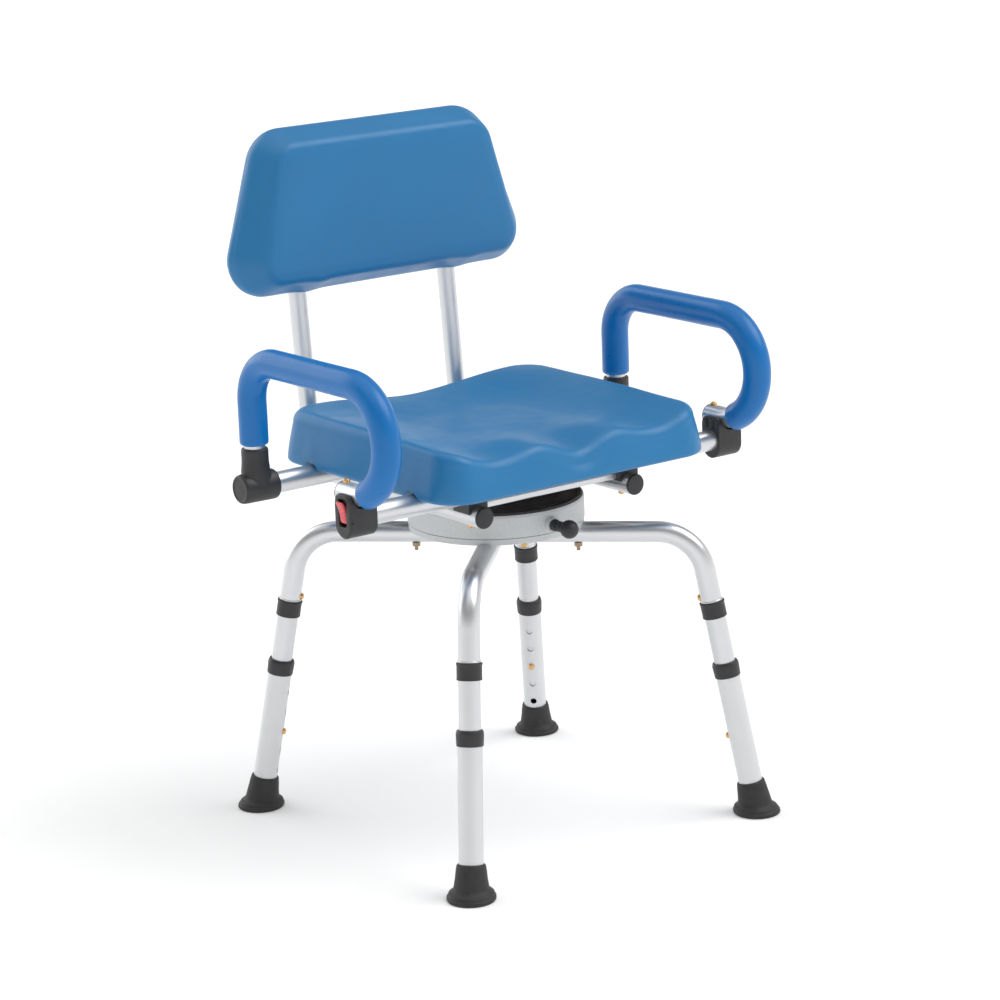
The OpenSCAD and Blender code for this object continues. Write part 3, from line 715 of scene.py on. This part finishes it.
def build_lever(name, side):
    """A curved finger lever that stands proud at its top, on a cross pin."""
    half_w = 0.0065
    # (outwards from the pin, up from the pin, thickness)
    line = [(0.0, -0.0035, 0.0040), (0.0002, 0.002, 0.0052), (0.0008, 0.008, 0.0050),
            (0.0026, 0.014, 0.0047), (0.0055, 0.020, 0.0043), (0.0068, 0.0224, 0.0024)]
    rings = []
    for out, up, thick in line:
        centre = LEVER_PIN + Vector((out, 0, up))
        ring = []
        for a in turns(32):
            c, s = math.cos(a), math.sin(a)
            ring.append(centre + Vector((
                math.copysign(abs(c) ** 0.6, c) * thick / 2, math.copysign(abs(s) ** 0.45, s) * half_w, 0)))
        rings.append(ring)
    pin = lathe(soften([(0, -0.0095), (0.0015, -0.0095), (0.0015, 0.0095), (0, 0.0095)]),
                along((0, 1, 0), LEVER_PIN), 24)
    lever = piece(f"catch_lever_{name}", mirrored(joined(loft(rings), pin), side), f"latch_lever_{name}",
                  red, [f"latch_lever_{name}"], sharp=80)
    add_modifier(lever, "SUBSURF", levels=2, render_levels=2)


# ---- Legs ----


def build_leg(name):
    body = f"leg_{name}"
    upper = leg_place(name, UPPER_COLLAR_AT)
    bead = lathe(soften([(0.0127, -0.0022), (0.0136, -0.0020, 0.0006), (0.0139, -0.0011, 0.0005),
                         (0.0136, -0.0002, 0.0006), (0.0127, 0)]), upper, hollow=True)
    piece(f"tube_bead_{name}", bead, "base", aluminium)
    skirt = LOWER_R + 0.0019
    collar = lathe(soften([
        (TUBE_R + 0.0001, 0.0006), (TUBE_R + 0.0005, 0, 0.0004), (LOWER_R + 0.0006, 0, 0.0010),
        (skirt - 0.0002, 0.0030, 0.002), (skirt, 0.0050, 0.0012), (LOWER_R + 0.0013, COLLAR_H, 0.0008),
        (LOWER_R + 0.0001, COLLAR_H, 0.0004), (LOWER_R + 0.0001, 0.0030), (TUBE_R + 0.0001, 0.0028)]),
        leg_place(name, COLLAR_AT), hollow=True)
    piece(f"leg_collar_{name}", collar, body, black, [f"lower_collar_{name}"])
    build_foot(name)


def build_upper_collars():
    shapes = []
    for name in LEGS:
        shapes.append(lathe(soften([
            (TUBE_R, 0.0006), (TUBE_R + 0.0008, 0, 0.0004), (0.0151, 0, 0.0009), (0.0153, 0.0022, 0.0006),
            (0.0147, 0.0030, 0.0006), (0.0146, 0.0160, 0.001), (0.0149, UPPER_COLLAR_H, 0.0016),
            (TUBE_R, UPPER_COLLAR_H)]), leg_place(name, UPPER_COLLAR_AT), hollow=True))
    piece("leg_collars_upper", joined(*shapes), "base", black, ["upper_collars"])


def build_foot(name):
    """A rubber ferrule: rings that lean with the leg at the neck and lie level at the base."""
    place = leg_place(name)
    radial = Vector((math.cos(math.radians(LEGS[name])), math.sin(math.radians(LEGS[name])), 0))
    leg_way = (place.to_3x3() @ Vector((0, 0, 1))).normalized()
    ground = place @ Vector((0, 0, LEG_Z / math.cos(SPLAY)))
    bore_r = LOWER_R + 0.0001
    # (height, radius, corner round), from the sole up, and then down the bore
    base = soften([
        (0.0, 0.0220, 0), (0.0, 0.0272, 0.0012), (0.0014, 0.0285, 0.0012), (0.0048, 0.0285, 0.0010),
        (0.0056, 0.0272, 0.0008), (0.0090, 0.0262, 0.0014), (0.0100, 0.0240, 0.0014),
        (0.0130, 0.0208, 0.0045), (0.0240, 0.0188, 0.006), (0.0330, 0.0179, 0.004),
        (0.0368, 0.0172, 0.0012), (0.0392, 0.0168, 0.001), (0.0405, 0.0150, 0)], 5)
    base += [(0.0400, bore_r), (0.0250, bore_r), (0.0090, bore_r)]
    lean_low, lean_high = 0.009, 0.026
    rings = []
    for h, r in base:
        t = 1 if r == bore_r else ease(lean_low, lean_high, h)
        axis = Vector((0, 0, -1)).lerp(leg_way, t).normalized()
        centre = ground - leg_way * (h / -leg_way.z)
        across = axis.cross(radial).normalized()
        out = across.cross(axis).normalized()
        rings.append([centre + (out * math.cos(a) + across * math.sin(a)) * r for a in turns(72)])
    bore_end = sum(rings[-1], Vector()) / len(rings[-1])
    # the tread: two round grooves in the sole
    sole = []
    groove = 0.0011
    for r, z in ((0.004, 0), (0.008, 0), (0.0085, groove), (0.0105, groove), (0.011, 0), (0.0145, 0),
                 (0.015, groove), (0.017, groove), (0.0175, 0), (0.0205, 0)):
        sole.append([Vector((ground.x + r * math.cos(a), ground.y + r * math.sin(a), z))
                     for a in sole_turns(rings[0], ground)])
    shape = loft(sole + rings, (Vector((ground.x, ground.y, 0)), bore_end))
    piece(f"rubber_foot_{name}", shape, f"leg_{name}", rubber, [f"foot_{name}"], sharp=35)


def sole_turns(ring, centre):
    """The angles at which a ring's points lie about a centre, so that rings inside it match it."""
    return [math.atan2(p.y - centre.y, p.x - centre.x) for p in ring]


def build_buttons():
    """Domed brass snap buttons on leaf springs, in the legs and under the rails."""
    kinds = (("height", LOWER_BUTTON_AT, LOWER_R), ("upper", UPPER_BUTTON_AT, TUBE_R))
    for kind, distance, surface_r in kinds:
        for name in LEGS:
            place = leg_place(name, distance)
            build_button(f"{kind}_button_{name}", place, surface_r)
    for name, side in SIDES.items():
        place = Matrix.Translation((side * RAIL_X, RAIL_BUTTON_Y, RAIL_Z)) @ Matrix(
            ((0, 1, 0, 0), (0, 0, 1, 0), (-1, 0, 0, 0), (0, 0, 0, 1)))
        build_button(f"rail_button_{name}", place, TUBE_R)


def build_button(node, place, surface_r):
    """A pin on a leaf spring. place has +X out of the tube and +Z along it."""
    pin_r, proud, sunk = 0.0039, 0.0036, 0.0009
    base = surface_r - sunk
    pin = lathe(dome(pin_r, proud + sunk, base - 0.0062), place @ along((1, 0, 0), (base, 0, 0)), 32)
    leaf = moved(block((0.0056, -0.003, -0.0045), (0.0063, 0.003, 0.021)), place)
    piece(f"snap_{node}", joined(pin, leaf), node, brass, [node])


# ---- Swivel base and seat frame ----


def build_knob():
    """The pull knob of the index plunger: a ball on a waisted stem."""
    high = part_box("index_knob")[1]
    place = along((0, -1, 0), (0, 0, INDEX_Z))
    nose, stem_at, ball_at, ball_r = -high.y, 0.1220, 0.1410, 0.0110
    neck, neck_angle = 0.1318, 0.62
    arc = [(ball_r * math.sin(a), ball_at - ball_r * math.cos(a))
           for a in (neck_angle + (math.pi - neck_angle) * k / 18 for k in range(18))]
    profile = soften([(0, nose), (0.0022, nose, 0.0005), (0.003, nose + 0.001), (0.003, stem_at),
                      (0.0062, stem_at, 0.0006), (0.0066, stem_at + 0.003, 0.001),
                      (0.0052, neck - 0.002, 0.002), (0.0056, neck)])
    knob = lathe(profile + arc + [(0, ball_at + ball_r)], place)
    piece("pull_knob", knob, "index_knob", black, ["index_knob"], sharp=50)
    bush = lathe(soften([(0.0031, 0.094), (0.0054, 0.094), (0.0054, 0.1119), (0.0070, 0.1121, 0.0004),
                         (0.0072, 0.1150, 0.0008), (0.0066, 0.1180, 0.001), (0.0055, 0.1195, 0.0008),
                         (0.0031, 0.1195)]), place)
    piece("plunger_collar", bush, "base", black, ["plunger_bush"])


def build_rail_caps():
    shapes = []
    for side in SIDES.values():
        shapes.append(lathe(soften([
            (0, -0.012), (0.0109, -0.012), (0.0109, -0.0002), (0.0127, 0, 0.0004), (0.0128, 0.0014, 0.0010),
            (0.0118, 0.0026, 0.0012), (0.0060, 0.0031, 0.004), (0, 0.0031)]),
            along((0, -1, 0), (side * RAIL_X, RAIL_END_Y, RAIL_Z))))
    piece("rail_caps", joined(*shapes), "seat", black, ["rail_end_caps"])


def build_tie_bar():
    """A flat bar between the seat rails, under the front cross tube."""
    front, rear, low, high, corner = -0.108, -0.092, 0.4172, 0.4243, 0.0012
    middle = (front + rear) / 2
    outline = soften([(middle, low), (front, low, corner), (front, high, corner),
                      (rear, high, corner), (rear, low, corner), (middle, low)])[:-1]
    half = RAIL_X - 0.0110           # its ends are let into the rails
    piece("front_tie_bar", prism(outline, -half, half), "seat", aluminium)


def bevel_blocks():
    for name, width in (("saddle_blocks", 0.0012), ("leg_bolts", 0.0003)):
        add_modifier(frame["nodes"][name], "BEVEL", width=width, segments=2, limit_method="ANGLE",
                     angle_limit=math.radians(50))


# ---- Stage ----


def add_camera():
    """The photograph's viewpoint: its azimuth, elevation and slight roll about the line of sight."""
    azimuth, elevation, roll = math.radians(-36.93), math.radians(14.17), math.radians(-2.02)
    target, distance = Vector((0.0066, 0, 0.3887)), 3.956
    back = Vector((math.sin(azimuth) * math.cos(elevation), -math.cos(azimuth) * math.cos(elevation),
                   math.sin(elevation)))
    right = Vector((math.cos(azimuth), math.sin(azimuth), 0))
    up = back.cross(right)
    right, up = right * math.cos(roll) + up * math.sin(roll), up * math.cos(roll) - right * math.sin(roll)
    camera = bpy.data.objects.new("camera", bpy.data.cameras.new("camera"))
    camera.data.sensor_width = 36
    camera.data.lens = 119.04
    turn = Matrix((right, up, back)).transposed().to_4x4()
    camera.matrix_world = Matrix.Translation(target + back * distance) @ turn
    bpy.context.scene.collection.objects.link(camera)
    bpy.context.scene.camera = camera


def add_sun(name, place, spread, power):
    """A soft sun that shines from a place towards the chair. spread is its width in degrees."""
    light = bpy.data.lights.new(name, "SUN")
    light.angle = math.radians(spread)
    light.energy = power
    obj = bpy.data.objects.new(name, light)
    obj.matrix_world = (-Vector(place)).to_track_quat("-Z", "Y").to_matrix().to_4x4()
    bpy.context.scene.collection.objects.link(obj)


def add_floor():
    floor_mesh = bpy.data.meshes.new("floor")
    reach = 60.0
    floor_mesh.from_pydata([(-reach, -reach, 0), (reach, -reach, 0), (reach, reach, 0), (-reach, reach, 0)],
                           [], [(0, 1, 2, 3)])
    floor = bpy.data.objects.new("floor", floor_mesh)
    bpy.context.scene.collection.objects.link(floor)
    floor_mesh.materials.append(surface("pale_floor", (0.93, 0.93, 0.93), 0.9, mottle=0.003, mottle_size=0.6,
                                        grain=0.02, Emission_Color=(1, 1, 1, 1), Emission_Strength=0.10))


def add_world():
    """A studio of soft light that also gives the tubes something to reflect."""
    world = bpy.context.scene.world or bpy.data.worlds.new("studio")
    bpy.context.scene.world = world
    world.use_nodes = True
    nodes, links = world.node_tree.nodes, world.node_tree.links
    sky = nodes["Background"]
    sky.inputs["Strength"].default_value = 1.0
    place = nodes.new("ShaderNodeTexCoord")
    split = nodes.new("ShaderNodeSeparateXYZ")
    ramp = nodes.new("ShaderNodeValToRGB")
    # brightness against height: white at the horizon, a darker band above it and a bright ceiling
    stops = ((0.0, 1.0), (0.12, 1.0), (0.28, 0.60), (0.48, 0.24), (0.70, 0.34), (0.90, 1.15))
    while len(ramp.color_ramp.elements) < len(stops):
        ramp.color_ramp.elements.new(0.5)
    for element, (height, white) in zip(ramp.color_ramp.elements, stops):
        element.position = height
        element.color = (white, white, white, 1)
    links.new(place.outputs["Generated"], split.inputs["Vector"])
    links.new(split.outputs["Z"], ramp.inputs["Fac"])
    links.new(ramp.outputs["Color"], sky.inputs["Color"])


# ---- Build ----

add_camera()
add_floor()
add_world()
add_sun("key", (1.9, -1.5, 2.9), 45, 1.5)
add_sun("back", (-0.9, 3.0, 1.5), 50, 0.9)
bpy.context.scene.view_settings.view_transform = "Standard"
dress_cad_nodes()
build_seat()
build_backrest()
for arm_name, arm_side in SIDES.items():
    build_grip(arm_name, arm_side)
    build_arm_end(arm_name, arm_side)
    build_tee(arm_name, arm_side)
    build_latch(arm_name, arm_side)
    build_lever(arm_name, arm_side)
for leg_name in LEGS:
    build_leg(leg_name)
build_upper_collars()
build_buttons()
build_knob()
build_rail_caps()
build_tie_bar()
bevel_blocks()
